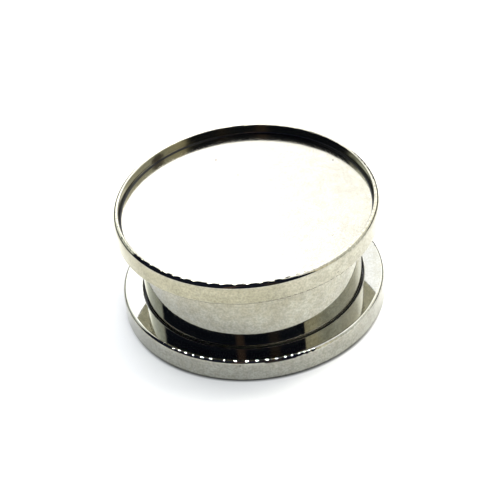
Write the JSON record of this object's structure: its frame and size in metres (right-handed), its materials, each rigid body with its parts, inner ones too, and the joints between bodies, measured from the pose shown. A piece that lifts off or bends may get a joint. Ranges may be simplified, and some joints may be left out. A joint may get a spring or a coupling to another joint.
{
  "type": "ear gauge plug",
  "caption": "Polished steel screw-fit ear gauge plug: a round barrel between a front flange with a shallow inlay tray and a back flange that unscrews.",
  "frame": {"origin": "middle of the back flange's outer face, which lies on the surface", "axes": "+Z along the barrel towards the tray face, X and Y across the flanges"},
  "size_m": [0.03, 0.03, 0.0136],
  "materials": {
    "polished_steel": "mirror polish with fine scratches, on stainless steel"
  },
  "bodies": {
    "back": {"back_flange": "polished_steel"},
    "front": {"front_tray": "polished_steel"}
  },
  "joints": [
    {"name": "unscrew", "type": "slide", "parent": "back", "child": "front", "axis": [0, 0, 1], "range_m": [0, 0.02]}
  ]
}
